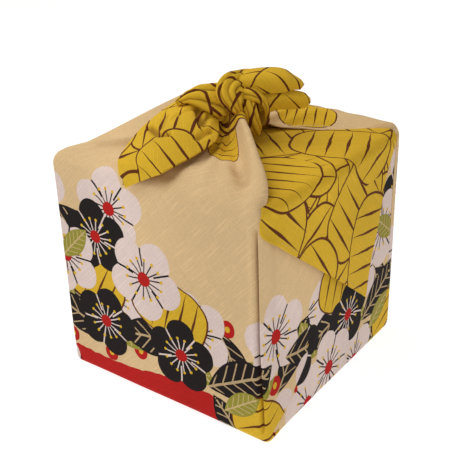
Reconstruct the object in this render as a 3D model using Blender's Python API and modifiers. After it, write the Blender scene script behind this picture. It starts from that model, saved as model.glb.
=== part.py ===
"""A square cotton cloth, wrapped and tied round a cube, as one hollow cloth body.

The corner-to-corner strip of the cloth runs in a spiral: over the top, down the
right wall, under the base, up the left wall, over the top again and down the
right wall as a pointed flap. The other two corners cover the front and the back,
lap round the upright edges and meet over the top in a flat knot with two tails.
The cube itself doesn't show and isn't here: the cloth stands hollow, and the gap
between the two turns of the spiral leads from the hollow to the open air.

Frame: +Z up, the floor at z = 0, the origin under the middle of the base, the
front wall towards -Y and the flap on the +X wall. Every length below is a share
of the width of the wrap, unless its name ends in M (metres).
"""
import math

import bmesh
import bpy
import numpy as np

# ---------------------------------------------------------------- driving sizes
CLOTH_SIDE_M = 0.500
WIDTH_M = 0.228 * CLOTH_SIDE_M
SHEET_M = 0.0012

SHEET = SHEET_M / WIDTH_M
GAP = 0.60 * SHEET
HEIGHT = 0.971
HALF_X = 0.500
HALF_Y = 0.5045

# ---------------------------------------------------------------- the strip
TURN_TOP = HEIGHT - 0.85 * SHEET
STRIP_HALF_Y = 0.4965
TURN_HALF_Y = 0.470
BASE_HALF_Y = 0.472
RIGHT_WALL_X = 0.496
LEFT_WALL_X = 0.4935
FLAP_X = 0.520
FLAP_START_X = 0.400
FLAP_WIDE_X = 0.500
INNER_END_X = -0.12
FLAP_HEM_Z = 0.885
FLAP_TIP_Z = 0.300
FLAP_TUCK = 0.012
TUCK_Y = (0.38, 0.47)
TUCK_Z = (0.87, 0.94)
TURN_NARROWS_Z = (0.88, 0.95)
WALL_SLANT = 0.010
LEFT_EDGE_LIFT = 0.055
LIFT_FROM_X = 0.150
LIFT_FROM_Z = 0.550
EDGE_ROUND = 0.026
BASE_ROUND = 0.020
MIDDLE_Z = 0.500
STRIP_COLUMNS = 10
STRIP_STEP = 0.130
STRIP_ARC_STEPS = 3

# the two edges of the flap, from the top edge of the wall down to the tip
FLAP_EDGES = {
    "z":     (0.980, 0.930, 0.885, 0.780, 0.690, 0.590, 0.480, 0.390, 0.335, 0.300),
    "left":  (-.472, -.490, -.498, -.370, -.261, -.139, -.005, 0.108, 0.176, 0.214),
    "right": (0.450, 0.442, 0.436, 0.415, 0.390, 0.353, 0.306, 0.263, 0.238, 0.224),
    "lift":  (0.000, 0.000, 0.000, 0.001, 0.002, 0.003, 0.004, 0.006, 0.008, 0.010),
}

# ---------------------------------------------------------------- the two ties
TIE_ROUND = 0.045
CORNER_ROUND = 0.020
RIM_ROUND = 0.030
TIE_FOOT_Z = 0.002
TIE_FOOT_Y = 0.420
FOOT_IN = 0.006
FOOT_ROUND = 0.036
KNOT_Y = 0.050
TIE_STEP = 0.085
TIE_ARC_STEPS = 4
EDGE_STEPS = 3
LAP_STEPS = 2
HALF_COLUMNS = (0.00, 0.36, 0.62, 0.78, 0.90)
RIDGE_IN = 0.045
RIDGE_HALF = 0.052
VALLEY_IN = 0.165
VALLEY_SHARE = 0.20
DROP_FROM = 0.25
RIGHT_ANGLE = 90.0

# lap: how far the cloth reaches round each upright edge, by height
FRONT_LAPS = {
    "z":     (0.000, 0.050, 0.080, 0.120, 0.260, 0.370, 0.470, 0.565, 0.680, 0.800, 0.910),
    "right": (0.004, 0.008, 0.080, 0.135, 0.268, 0.270, 0.280, 0.360, 0.260, 0.100, 0.012),
    "left":  (0.004, 0.008, 0.090, 0.160, 0.300, 0.330, 0.350, 0.380, 0.300, 0.110, 0.012),
    "out":   (0.000, 0.000, 0.000, 0.000, 0.000, 0.000, 0.000, 0.000, 0.001, 0.002, 0.018),
}
BACK_LAPS = {
    "z":     (0.000, 0.050, 0.080, 0.120, 0.260, 0.370, 0.470, 0.565, 0.680, 0.800, 0.910),
    "right": (0.004, 0.008, 0.088, 0.156, 0.272, 0.300, 0.292, 0.330, 0.270, 0.100, 0.012),
    "left":  (0.004, 0.008, 0.012, 0.014, 0.018, 0.020, 0.022, 0.022, 0.020, 0.018, 0.012),
    "out":   (0.000, 0.000, 0.000, 0.000, 0.000, 0.002, 0.003, 0.004, 0.004, 0.004, 0.004),
}

# over the top, from the edge (0) to the knot (1), for each side: the half width,
# the height of the ridge along the rim, how far the cloth sinks towards the rim
# and the angle to which the rim curls over; and the rise of the middle
FRONT_TOP = {
    "way":        (0.00, 0.10, 0.25, 0.45, 0.65, 0.82, 1.00),
    "rise":       (0.000, 0.000, 0.000, 0.004, 0.014, 0.036, 0.080),
    "right":      (0.520, 0.500, 0.435, 0.350, 0.275, 0.210, 0.140),
    "right_rim":  (0.006, 0.020, 0.032, 0.040, 0.042, 0.036, 0.022),
    "right_drop": (0.000, 0.000, 0.000, 0.000, 0.000, 0.000, 0.000),
    "right_curl": (90.0, 95.0, 105.0, 110.0, 110.0, 110.0, 100.0),
    "left":       (0.500, 0.470, 0.400, 0.310, 0.210, 0.130, 0.070),
    "left_rim":   (0.004, 0.010, 0.022, 0.028, 0.026, 0.020, 0.010),
    "left_drop":  (0.000, 0.000, 0.000, 0.000, 0.000, 0.000, 0.000),
    "left_curl":  (90.0, 90.0, 90.0, 90.0, 90.0, 90.0, 90.0),
}
BACK_TOP = {
    "way":        (0.00, 0.10, 0.25, 0.45, 0.65, 0.82, 1.00),
    "rise":       (0.026, 0.040, 0.046, 0.046, 0.052, 0.066, 0.090),
    "right":      (0.500, 0.480, 0.420, 0.330, 0.230, 0.140, 0.080),
    "right_rim":  (0.012, 0.018, 0.024, 0.026, 0.026, 0.022, 0.014),
    "right_drop": (0.000, 0.000, 0.000, 0.000, 0.000, 0.000, 0.000),
    "right_curl": (90.0, 95.0, 100.0, 100.0, 100.0, 100.0, 95.0),
    "left":       (0.495, 0.410, 0.335, 0.200, 0.085, 0.045, 0.040),
    "left_rim":   (0.000, 0.000, 0.000, 0.000, 0.000, 0.000, 0.000),
    "left_drop":  (0.500, 0.800, 0.880, 0.850, 0.700, 0.300, 0.000),
    "left_curl":  (90.0, 40.0, 14.0, 10.0, 12.0, 20.0, 40.0),
}

# ---------------------------------------------------------------- the knot
# the side of the knot that its bands show, and the side that the front tail shows
KNOT_FACE = (0.62, -0.60, 0.50)
FRONT_TAIL_FACE = (0.25, -0.30, 0.92)

# each strand: the middle of its path, and the width and thickness of its section
FRONT_STRAND = {
    "x":     (0.050, 0.045, 0.030, 0.061, 0.101, 0.121, 0.111, 0.077, 0.031, -.024, -.066, -.100, -.124, -.132),
    "y":     (-.022, -.008, 0.026, 0.068, 0.073, 0.080, 0.066, 0.044, 0.027, 0.010, -.018, -.055, -.084, -.094),
    "z":     (1.010, 1.070, 1.108, 1.094, 1.099, 1.134, 1.172, 1.201, 1.207, 1.193, 1.180, 1.162, 1.148, 1.143),
    "wide":  (0.085, 0.075, 0.065, 0.060, 0.050, 0.045, 0.050, 0.060, 0.068, 0.080, 0.105, 0.128, 0.112, 0.050),
    "thick": (0.034, 0.034, 0.034, 0.032, 0.034, 0.036, 0.040, 0.044, 0.044, 0.046, 0.052, 0.052, 0.042, 0.012),
}
BACK_STRAND = {
    "x":     (0.060, 0.062, 0.052, 0.036, 0.024, 0.012),
    "y":     (0.090, 0.040, -.005, -.045, -.058, -.052),
    "z":     (0.985, 1.050, 1.095, 1.140, 1.178, 1.206),
    "wide":  (0.080, 0.080, 0.090, 0.108, 0.108, 0.078),
    "thick": (0.034, 0.036, 0.038, 0.042, 0.044, 0.036),
}

# each leaf of a tail: its upper and lower edge from the root to the tip, and its crown
FRONT_TAIL = {
    "upper_x": (-.085, -.150, -.205, -.250, -.205, -.142, -.105),
    "upper_y": (-.055, -.110, -.195, -.290, -.420, -.515, -.560),
    "upper_z": (1.180, 1.155, 1.095, 1.035, 1.012, 1.003, 0.992),
    "lower_x": (-.020, 0.035, 0.095, 0.100, 0.075, 0.030, -.058),
    "lower_y": (-.070, -.145, -.250, -.370, -.470, -.545, -.566),
    "lower_z": (1.085, 1.045, 1.026, 1.018, 1.014, 0.990, 0.955),
    "crown":   (0.026, 0.042, 0.046, 0.036, 0.026, 0.016, 0.004),
}
BACK_TAIL = {
    "upper_x": (-.040, -.045, -.020, 0.020, 0.073, 0.131, 0.169, 0.196),
    "upper_y": (-.030, 0.009, 0.044, 0.093, 0.145, 0.207, 0.232, 0.249),
    "upper_z": (1.204, 1.226, 1.254, 1.266, 1.266, 1.252, 1.223, 1.191),
    "lower_x": (0.030, 0.036, 0.061, 0.090, 0.120, 0.156, 0.183, 0.199),
    "lower_y": (-.046, -.010, 0.033, 0.068, 0.111, 0.161, 0.211, 0.241),
    "lower_z": (1.160, 1.172, 1.177, 1.178, 1.168, 1.162, 1.167, 1.178),
    "crown":   (0.010, 0.022, 0.034, 0.036, 0.034, 0.028, 0.018, 0.004),
}
BACK_TAIL_UNDER = {
    "upper_x": (0.045, 0.079, 0.112, 0.148, 0.172),
    "upper_y": (0.078, 0.114, 0.162, 0.204, 0.231),
    "upper_z": (1.190, 1.188, 1.184, 1.184, 1.172),
    "lower_x": (0.080, 0.111, 0.140, 0.163, 0.178),
    "lower_y": (0.054, 0.096, 0.141, 0.188, 0.222),
    "lower_z": (1.142, 1.128, 1.122, 1.127, 1.148),
    "crown":   (0.016, 0.022, 0.022, 0.016, 0.004),
}
TAIL_SHEETS = 2.0
TAIL_COLUMNS = 5
TAIL_STEPS = 9
STRAND_SIDES = 8
STRAND_STEPS = 20

CLOTH_COLOUR = (0.74, 0.60, 0.40, 1.0)
CLOTH_ROUGHNESS = 0.85


def read(table, column, at, along):
    """A column of a table at one place along it, on a smooth curve that never overshoots."""
    keys, values = table[along], table[column]
    if keys[0] > keys[-1]:
        keys, values = keys[::-1], values[::-1]
    at = min(max(at, keys[0]), keys[-1])
    i = min(int(np.searchsorted(keys, at, side="right")) - 1, len(keys) - 2)
    steps = np.diff(keys)
    rates = np.diff(values) / steps
    slopes = [0.0, 0.0]
    for end, j in enumerate((i, i + 1)):
        if 0 < j < len(keys) - 1 and rates[j - 1] * rates[j] > 0:
            slopes[end] = 2 * rates[j - 1] * rates[j] / (rates[j - 1] + rates[j])
        elif j in (0, len(keys) - 1):
            slopes[end] = rates[0 if j == 0 else -1]
    share = (at - keys[i]) / steps[i]
    cube, square = share ** 3, share ** 2
    return float((2 * cube - 3 * square + 1) * values[i]
                 + (cube - 2 * square + share) * steps[i] * slopes[0]
                 + (3 * square - 2 * cube) * values[i + 1]
                 + (cube - square) * steps[i] * slopes[1])


def smooth(value, low, high):
    """0 below low, 1 above high, with a soft run between them."""
    share = min(max((value - low) / (high - low), 0.0), 1.0)
    return share * share * (3 - 2 * share)


def rounded_path(corners, rounds, straight_step, arc_steps):
    """Points of a polyline with its corners rounded, each with its left-hand normal."""
    corners = [np.array(c, float) for c in corners]
    points = []
    start = corners[0]
    for i in range(1, len(corners)):
        direction = corners[i] - corners[i - 1]
        direction /= np.linalg.norm(direction)
        normal = np.array((-direction[1], direction[0]))
        last = i == len(corners) - 1
        radius = 0.0 if last else rounds[i - 1]
        end = corners[i] - direction * radius
        count = max(1, round(np.linalg.norm(end - start) / straight_step))
        for k in range(count + (1 if last else 0)):
            points.append((start + (end - start) * k / count, normal))
        if last:
            break
        turn = corners[i + 1] - corners[i]
        turn /= np.linalg.norm(turn)
        for k in range(arc_steps if radius else 0):
            angle = 0.5 * math.pi * k / arc_steps
            offset = direction * math.sin(angle) + turn * (1 - math.cos(angle))
            lean = normal * math.cos(angle) + direction * math.sin(angle)
            points.append((end + radius * offset, lean))
        start = corners[i] + turn * radius
    return points


# ---------------------------------------------------------------- surfaces
def left_lift(x, y, z):
    """How much the left part of the top turn is lifted towards the back corner."""
    across = smooth(-x, -LIFT_FROM_X, HALF_X)
    up = smooth(z, LIFT_FROM_Z, HEIGHT)
    return LEFT_EDGE_LIFT * across * up * smooth(y, -HALF_Y, HALF_Y)


def strip_rows():
    """The spiral strip as rows of points, from its hidden end to the tip of the flap."""
    inner_top = TURN_TOP - SHEET - GAP
    corners = ((INNER_END_X, inner_top), (RIGHT_WALL_X, inner_top), (RIGHT_WALL_X, 0),
               (-LEFT_WALL_X, 0), (-LEFT_WALL_X, TURN_TOP), (FLAP_X, TURN_TOP),
               (FLAP_X, FLAP_HEM_Z), (FLAP_X, FLAP_TIP_Z))
    rounds = (EDGE_ROUND, BASE_ROUND, BASE_ROUND, EDGE_ROUND, EDGE_ROUND + SHEET + GAP, 0)
    outer_turn = False
    rows = []
    for (x, z), lean in rounded_path(corners, rounds, STRIP_STEP, STRIP_ARC_STEPS):
        outer_turn = outer_turn or x < -LEFT_WALL_X + 1e-6 and z > MIDDLE_Z
        is_flap = outer_turn and x > FLAP_START_X
        half_y = STRIP_HALF_Y + smooth(z, *TURN_NARROWS_Z) * (TURN_HALF_Y - STRIP_HALF_Y)
        half_y -= (1 - smooth(z, 0.0, FOOT_ROUND)) * (STRIP_HALF_Y - BASE_HALF_Y)
        left, right = -half_y, half_y
        if is_flap:
            reach = smooth(x, FLAP_START_X, FLAP_WIDE_X)
            left = read(FLAP_EDGES, "left", z, "z")
            right = half_y + reach * (read(FLAP_EDGES, "right", z, "z") - half_y)
        row = []
        for k in range(STRIP_COLUMNS + 1):
            y = left + (right - left) * k / STRIP_COLUMNS
            px, pz = x, z
            if is_flap:
                tuck = smooth(-y, *TUCK_Y) * smooth(z, *TUCK_Z)
                px += read(FLAP_EDGES, "lift", z, "z") - FLAP_TUCK * tuck
            elif x > FLAP_START_X:
                px += WALL_SLANT * y
            if outer_turn:
                pz += left_lift(x, y, z)
            row.append((px, y, pz))
        rows.append(row)
    return rows


def tie_rows(laps, top, back):
    """A tie as rows of points, from under the base up its wall and over to the knot."""
    corners = ((-TIE_FOOT_Y, TIE_FOOT_Z), (-HALF_Y, TIE_FOOT_Z), (-HALF_Y, HEIGHT),
               (-KNOT_Y, HEIGHT))
    edge_y = HALF_Y - TIE_ROUND
    rows = []
    for (y, z), lean in rounded_path(corners, (FOOT_ROUND, TIE_ROUND), TIE_STEP, TIE_ARC_STEPS):
        way = 0.0
        if z > MIDDLE_Z and y > -edge_y:
            way = (edge_y + y) / (edge_y - KNOT_Y)
        on_top = smooth(z, HEIGHT - TIE_ROUND, HEIGHT)
        under = 1.0 - smooth(z, TIE_FOOT_Z, TIE_FOOT_Z + FOOT_ROUND)
        row = []
        for side in ("left", "right"):
            sign = -1 if side == "left" else 1
            half = HALF_X + (1 - on_top) * read(laps, "out", z, "z") - under * FOOT_IN
            half += on_top * (read(top, side, way, "way") - HALF_X)
            rim = read(top, side + "_rim", way, "way") * on_top
            drop = read(top, side + "_drop", way, "way")
            curl = read(top, side + "_curl", way, "way")
            curl = math.radians(RIGHT_ANGLE + on_top * (curl - RIGHT_ANGLE))
            rise = read(top, "rise", way, "way") * on_top
            lap = read(laps, side, z, "z")
            radius = CORNER_ROUND + on_top * (RIM_ROUND - CORNER_ROUND)
            run = side_run(half, radius, lap, curl, rim, drop, rise)
            ring = [(sign * out, y + lean[0] * up, z + lean[1] * up) for out, up in run]
            row = ring[::-1] if side == "left" else row + ring[1:]
        rows.append([(-x, -y, z) if back else (x, y, z) for x, y, z in row])
    return rows


def side_run(half, radius, lap, curl, rim, drop, rise):
    """Half a cross section of a tie, from its middle outwards: (out, up) pairs.

    The face runs out to its ridge, the rim curls over it, and the lap goes on."""
    def height(out):
        ridge = rim * math.exp(-((half - out - RIDGE_IN) / RIDGE_HALF) ** 2)
        valley = VALLEY_SHARE * rim * math.exp(-((half - out - VALLEY_IN) / RIDGE_HALF) ** 2)
        return rise * (1 - drop * smooth(out / half, DROP_FROM, 1.0)) + ridge - valley

    face_end = half - radius
    run = [(face_end * share, height(face_end * share)) for share in HALF_COLUMNS]
    bend = curl / (radius * math.pi / 2)
    crest = height(face_end)
    for k in range(EDGE_STEPS + 1):
        turned = curl * k / EDGE_STEPS
        run.append((face_end + math.sin(turned) / bend, crest - (1 - math.cos(turned)) / bend))
    out, up = run[-1]
    for k in range(1, LAP_STEPS + 1):
        reach = lap * k / LAP_STEPS
        run.append((out + math.cos(curl) * reach, up - math.sin(curl) * reach))
    return run


def table_curve(table, names, count):
    """Points on a smooth curve through the rows of a table, evenly spread over them."""
    rows = len(table[names[0]])
    keyed = dict(table, place=tuple(range(rows)))
    places = [(rows - 1) * k / (count - 1) for k in range(count)]
    return [[read(keyed, name, place, "place") for name in names] for place in places]


# ---------------------------------------------------------------- mesh makers
def new_object(name, bm, collection):
    for vert in bm.verts:
        vert.co *= WIDTH_M
    mesh = bpy.data.meshes.new(name)
    bm.to_mesh(mesh)
    bm.free()
    obj = bpy.data.objects.new(name, mesh)
    collection.objects.link(obj)
    return obj


def sheet_object(name, rows, collection, thickness=SHEET_M, flip=False):
    """An open sheet on a grid of points, given its thickness inwards."""
    bm = bmesh.new()
    grid = [[bm.verts.new(point) for point in row] for row in rows]
    for near, far in zip(grid, grid[1:]):
        for k in range(len(near) - 1):
            ring = (near[k], near[k + 1], far[k + 1], far[k])
            bm.faces.new(ring[::-1] if flip else ring)
    obj = new_object(name, bm, collection)
    solid = obj.modifiers.new("thickness", "SOLIDIFY")
    solid.thickness = thickness
    solid.offset = -1.0
    solid.use_even_offset = False
    obj.modifiers.new("flat_faces", "TRIANGULATE")
    return obj


def strand_object(name, table, collection):
    """A flattened strand along the rows of a table, its ends closed."""
    path = table_curve(table, ("x", "y", "z", "wide", "thick"), STRAND_STEPS)
    middles = [np.array(line[:3]) for line in path]
    facing = np.array(KNOT_FACE) / np.linalg.norm(KNOT_FACE)
    bm = bmesh.new()
    rings = []
    for i, line in enumerate(path):
        ahead = middles[min(i + 1, len(path) - 1)] - middles[max(i - 1, 0)]
        ahead /= np.linalg.norm(ahead)
        depth = facing - ahead * facing.dot(ahead)
        depth /= np.linalg.norm(depth)
        broad = np.cross(ahead, depth)
        ring = []
        for k in range(STRAND_SIDES):
            angle = 2 * math.pi * k / STRAND_SIDES
            across = broad * math.cos(angle) * line[3] + depth * math.sin(angle) * line[4]
            ring.append(bm.verts.new(middles[i] + across / 2))
        rings.append(ring)
    for near, far in zip(rings, rings[1:]):
        for k in range(STRAND_SIDES):
            after = (k + 1) % STRAND_SIDES
            bm.faces.new((near[k], near[after], far[after], far[k]))
    bm.faces.new(rings[0][::-1])
    bm.faces.new(rings[-1])
    bmesh.ops.recalc_face_normals(bm, faces=bm.faces)
    return new_object(name, bm, collection)


def tail_object(name, table, facing, collection):
    """A leaf of a tail between its two edges, crowned across."""
    names = ("upper_x", "upper_y", "upper_z", "lower_x", "lower_y", "lower_z", "crown")
    facing = np.array(facing) / np.linalg.norm(facing)
    shares = [k / TAIL_COLUMNS for k in range(TAIL_COLUMNS + 1)]
    rows = []
    for line in table_curve(table, names, TAIL_STEPS):
        upper, lower, crown = np.array(line[:3]), np.array(line[3:6]), line[6]
        rows.append([upper + (lower - upper) * share
                     + facing * crown * math.sin(math.pi * share) for share in shares])
    return sheet_object(name, rows, collection, SHEET_M * TAIL_SHEETS, flip=True)


# ---------------------------------------------------------------- assembly
def cloth_material():
    material = bpy.data.materials.new("printed_cotton")
    material.use_nodes = True
    shader = material.node_tree.nodes["Principled BSDF"]
    shader.inputs["Base Color"].default_value = CLOTH_COLOUR
    shader.inputs["Roughness"].default_value = CLOTH_ROUGHNESS
    shader.inputs["Metallic"].default_value = 0.0
    return material


def main():
    for obj in list(bpy.data.objects):
        bpy.data.objects.remove(obj)
    part = bpy.data.collections.new("furoshiki_wrap")
    joined = bpy.data.collections.new("joined_pieces")
    for collection in (part, joined):
        bpy.context.scene.collection.children.link(collection)

    cloth = sheet_object("furoshiki", strip_rows(), part, flip=True)
    pieces = [
        sheet_object("front_tie", tie_rows(FRONT_LAPS, FRONT_TOP, back=False), joined),
        sheet_object("back_tie", tie_rows(BACK_LAPS, BACK_TOP, back=True), joined),
        strand_object("front_strand", FRONT_STRAND, joined),
        strand_object("back_strand", BACK_STRAND, joined),
        tail_object("front_tail", FRONT_TAIL, FRONT_TAIL_FACE, joined),
        tail_object("back_tail", BACK_TAIL, KNOT_FACE, joined),
        tail_object("back_tail_under", BACK_TAIL_UNDER, KNOT_FACE, joined),
    ]
    for piece in pieces:
        piece.display_type = "WIRE"
        piece.hide_render = True
        union = cloth.modifiers.new("with_" + piece.name, "BOOLEAN")
        union.operation = "UNION"
        union.solver = "EXACT"
        union.object = piece
    cloth.data.materials.append(cloth_material())


main()
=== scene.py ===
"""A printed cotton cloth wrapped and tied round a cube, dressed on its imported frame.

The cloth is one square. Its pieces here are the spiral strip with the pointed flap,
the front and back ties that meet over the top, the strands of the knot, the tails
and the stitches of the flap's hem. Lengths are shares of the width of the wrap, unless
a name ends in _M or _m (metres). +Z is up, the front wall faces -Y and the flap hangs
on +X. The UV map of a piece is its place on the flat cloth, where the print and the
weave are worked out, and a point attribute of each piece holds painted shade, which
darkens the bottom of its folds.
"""
import math

import bmesh
import bpy
import numpy as np
from bpy.props import FloatProperty, FloatVectorProperty, IntProperty, PointerProperty
from bpy.types import Operator, Panel, PropertyGroup
from mathutils import Matrix, Vector


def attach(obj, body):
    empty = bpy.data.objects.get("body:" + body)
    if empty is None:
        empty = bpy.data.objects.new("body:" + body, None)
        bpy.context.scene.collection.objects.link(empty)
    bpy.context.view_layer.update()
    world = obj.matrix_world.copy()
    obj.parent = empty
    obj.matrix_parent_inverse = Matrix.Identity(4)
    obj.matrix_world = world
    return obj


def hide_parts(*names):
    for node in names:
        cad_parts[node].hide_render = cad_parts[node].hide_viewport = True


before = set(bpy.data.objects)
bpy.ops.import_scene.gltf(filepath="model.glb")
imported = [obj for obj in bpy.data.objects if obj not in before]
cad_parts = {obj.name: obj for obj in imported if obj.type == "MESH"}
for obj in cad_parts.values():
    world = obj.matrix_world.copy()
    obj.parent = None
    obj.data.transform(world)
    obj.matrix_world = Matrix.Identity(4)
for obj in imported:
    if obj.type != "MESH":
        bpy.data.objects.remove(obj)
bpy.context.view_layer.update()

bl_info = {
    "name": "Furoshiki Wrap",
    "version": (1, 0, 0),
    "blender": (4, 5, 0),
    "location": "View3D > Sidebar > Furoshiki",
    "description": "A printed cotton cloth wrapped and tied round a cube",
    "category": "Add Mesh",
}

NODE = "furoshiki"
BODY = "root"


def thousandths(table):
    """A table whose lengths are written in thousandths of the width of the wrap."""
    return {name: tuple(value / 1000 for value in column) for name, column in table.items()}


# ---- sizes of the wrap
CLOTH_SIDE_M = 0.500
WIDTH_SHARE = 0.228
SHEET_M = 0.0006
LAYER = 2 * SHEET_M / (WIDTH_SHARE * CLOTH_SIDE_M)
GAP = 0.60 * LAYER
HEIGHT = 0.971
HALF_X = 0.500
HALF_Y = 0.5045
MIDDLE_Z = 0.500

# ---- the strip
TURN_SINK = 0.85 * LAYER
TURN_TOP = HEIGHT - TURN_SINK
STRIP_HALF_Y = 0.4965
TURN_HALF_Y = 0.470
BASE_HALF_Y = 0.472
RIGHT_WALL_X = 0.496
LEFT_WALL_X = 0.4935
FLAP_X = 0.520
FLAP_START_X = 0.400
FLAP_WIDE_X = 0.500
INNER_END_X = -0.12
FLAP_HEM_Z = 0.885
FLAP_TIP_Z = 0.325
FLAP_TUCK = 0.018
TUCK_Y = (0.38, 0.50)
TUCK_Z = (0.80, 0.88)
TURN_NARROWS_Z = (0.88, 0.95)
WALL_SLANT = 0.010
LEFT_EDGE_LIFT = 0.055
LIFT_FROM_X = 0.150
LIFT_FROM_Z = 0.550
EDGE_ROUND = 0.026
BASE_ROUND = 0.020

# the two edges of the flap, from its tip up to the top edge of the wall
FLAP_EDGES = thousandths({
    "z": (325, 345, 390, 480, 590, 690, 780, 885, 930, 980),
    "left": (173, 150, 94, -20, -162, -289, -405, -512, -505, -472),
    "right": (175, 184, 196, 222, 268, 303, 335, 402, 430, 455),
    "lift": (19, 17, 15, 13, 11, 8, 4, 0, 0, 0),
})

# ---- the two ties
TIE_ROUND = 0.045
CORNER_ROUND = 0.020
RIM_ROUND = 0.030
TIE_FOOT_Z = 0.002
TIE_FOOT_Y = 0.420
FOOT_IN = 0.006
FOOT_ROUND = 0.036
KNOT_Y = 0.050
FRONT_END_Y = 0.010
BACK_END_Y = -0.020
RIDGE_IN = 0.035
RIDGE_HALF = 0.038
RIDGE_POWER = 2.6
VALLEY_IN = 0.110
VALLEY_SHARE = 0.28
DROP_FROM = 0.25
RIGHT_ANGLE = 90.0

# how far the cloth laps round each upright edge, by height, and how far it stands out
LAP_Z = (0, 50, 80, 120, 260, 370, 470, 565, 680, 800, 910)
FRONT_LAPS = thousandths({
    "z": LAP_Z,
    "right": (4, 8, 80, 135, 268, 270, 280, 360, 260, 100, 12),
    "left": (4, 8, 90, 160, 300, 330, 350, 380, 300, 110, 12),
})
BACK_LAPS = thousandths({
    "z": LAP_Z,
    "right": (4, 8, 88, 156, 272, 300, 292, 330, 270, 100, 12),
    "left": (4, 8, 12, 14, 18, 20, 22, 22, 20, 18, 12),
    "out": (0, 0, 0, 0, 0, 2, 3, 4, 4, 4, 4),
})

# over the top, from the edge (0) to the knot (1): the rise of the middle, and for each
# side the half width, the ridge along the rim and the degrees that the rim curls over;
# and the share by which the cloth sinks towards its left rim
FRONT_TOP = thousandths({
    "way": (0, 100, 250, 450, 650, 820, 1000, 1150),
    "rise": (0, 16, 24, 26, 30, 44, 88, 120),
    "right": (476, 452, 405, 332, 258, 191, 112, 84),
    "right_rim": (12, 28, 42, 54, 65, 66, 40, 20),
    "left": (500, 470, 400, 310, 220, 160, 120, 100),
    "left_rim": (4, 10, 22, 28, 26, 20, 10, 4),
    "left_drop": (0, 600, 600, 600, 600, 400, 200, 100),
})
FRONT_TOP.update(
    right_curl=(90, 95, 105, 110, 110, 110, 100, 95),
    left_curl=(90, 90, 90, 90, 90, 90, 90, 90),
)
BACK_TOP = thousandths({
    "way": (0, 100, 250, 450, 650, 820, 1000),
    "rise": (26, 40, 46, 46, 52, 66, 90),
    "right": (500, 480, 420, 330, 230, 140, 80),
    "right_rim": (12, 18, 24, 26, 26, 22, 14),
    "left": (495, 410, 335, 200, 85, 45, 40),
    "left_rim": (0, 0, 0, 0, 0, 0, 0),
    "left_drop": (500, 1000, 1150, 1160, 1130, 980, 700),
})
BACK_TOP.update(
    right_curl=(90, 95, 100, 100, 100, 100, 95),
    left_curl=(90, 40, 14, 10, 12, 20, 40),
)

# ---- the knot
KNOT_FACE = (0.62, -0.60, 0.50)
FRONT_TAIL_FACE = (0.25, -0.30, 0.92)

# each strand: the middle of its path, and the width and thickness of its section
FRONT_STRAND = thousandths({
    "x": (39, 15, -11, -41, -73, -103, -127, -148),
    "y": (-1, -25, -55, -79, -100, -117, -132, -144),
    "z": (1099, 1126, 1136, 1145, 1152, 1150, 1140, 1128),
    "wide": (47, 101, 125, 109, 82, 51, 31, 19),
    "thick": (34, 50, 60, 60, 52, 40, 28, 20),
})
BACK_STRAND = thousandths({
    "x": (73, 52, 38, 28, 31, 44, 56, 60, 55),
    "y": (120, 80, 38, -8, -39, -51, -50, -37, -25),
    "z": (1179, 1189, 1195, 1191, 1175, 1153, 1127, 1100, 1076),
    "wide": (78, 86, 86, 97, 101, 89, 66, 47, 31),
    "thick": (34, 44, 50, 56, 58, 52, 44, 34, 28),
})
ROOT_STRAND = thousandths({
    "x": (104, 111, 108, 95, 75, 44),
    "y": (41, 13, -3, -2, 7, 21),
    "z": (997, 1034, 1075, 1112, 1139, 1154),
    "wide": (31, 43, 47, 47, 47, 39),
    "thick": (28, 38, 44, 44, 40, 30),
})
LOOP_STRAND = thousandths({
    "x": (10, 55, 90, 115, 130, 135, 129),
    "y": (3, 0, 10, 27, 46, 58, 67),
    "z": (1166, 1161, 1158, 1145, 1121, 1089, 1055),
    "wide": (39, 51, 51, 43, 31, 23, 19),
    "thick": (34, 40, 42, 40, 34, 26, 22),
})
INNER_STRAND = thousandths({
    "x": (27, 47, 69, 87, 99),
    "y": (59, 71, 80, 81, 76),
    "z": (1147, 1114, 1083, 1048, 1015),
    "wide": (70, 93, 93, 78, 54),
    "thick": (30, 30, 30, 28, 24),
})
# the strands, with the number and depth of their pleats, and the painted shade (0 to 1) laid over
# the whole strand, full on the inner strand that lies deep inside the knot
STRANDS = {
    "name": ("front_strand", "back_strand", "root_strand", "loop_strand", "inner_strand"),
    "path": (FRONT_STRAND, BACK_STRAND, ROOT_STRAND, LOOP_STRAND, INNER_STRAND),
    "pleats": (6, 9, 5, 5, 5),
    "depth": (0.18, 0.18, 0.12, 0.10, 0.10),
    "shade": (0.0, 0.0, 0.0, 0.0, 1.0),
}

# each leaf of a tail: its upper and lower edge from the root to the tip, and its crown
FRONT_TAIL = thousandths({
    "upper_x": (-124, -195, -218, -223, -204, -177, -123, -115, -100),
    "upper_y": (-79, -93, -160, -241, -341, -428, -516, -524, -529),
    "upper_z": (1135, 1112, 1085, 1058, 1034, 1014, 1006, 968, 935),
    "lower_x": (-20, 12, 90, 90, 78, 68, 19, -35, -89),
    "lower_y": (-57, -91, -230, -334, -428, -511, -520, -525, -529),
    "lower_z": (1105, 1055, 1030, 1020, 1010, 1000, 974, 947, 921),
    "crown": (20, 40, 46, 40, 30, 22, 14, 8, 3),
})
BACK_TAIL = thousandths({
    "upper_x": (0, 33, 67, 102, 134, 165, 188, 198),
    "upper_y": (14, 54, 100, 147, 184, 208, 224, 231),
    "upper_z": (1225, 1230, 1232, 1230, 1220, 1194, 1174, 1161),
    "lower_x": (40, 70, 101, 132, 161, 180, 194, 198),
    "lower_y": (1, 25, 55, 92, 134, 177, 204, 224),
    "lower_z": (1171, 1165, 1154, 1146, 1143, 1146, 1143, 1153),
    "crown": (10, 24, 34, 36, 34, 26, 14, 4),
})
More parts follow.
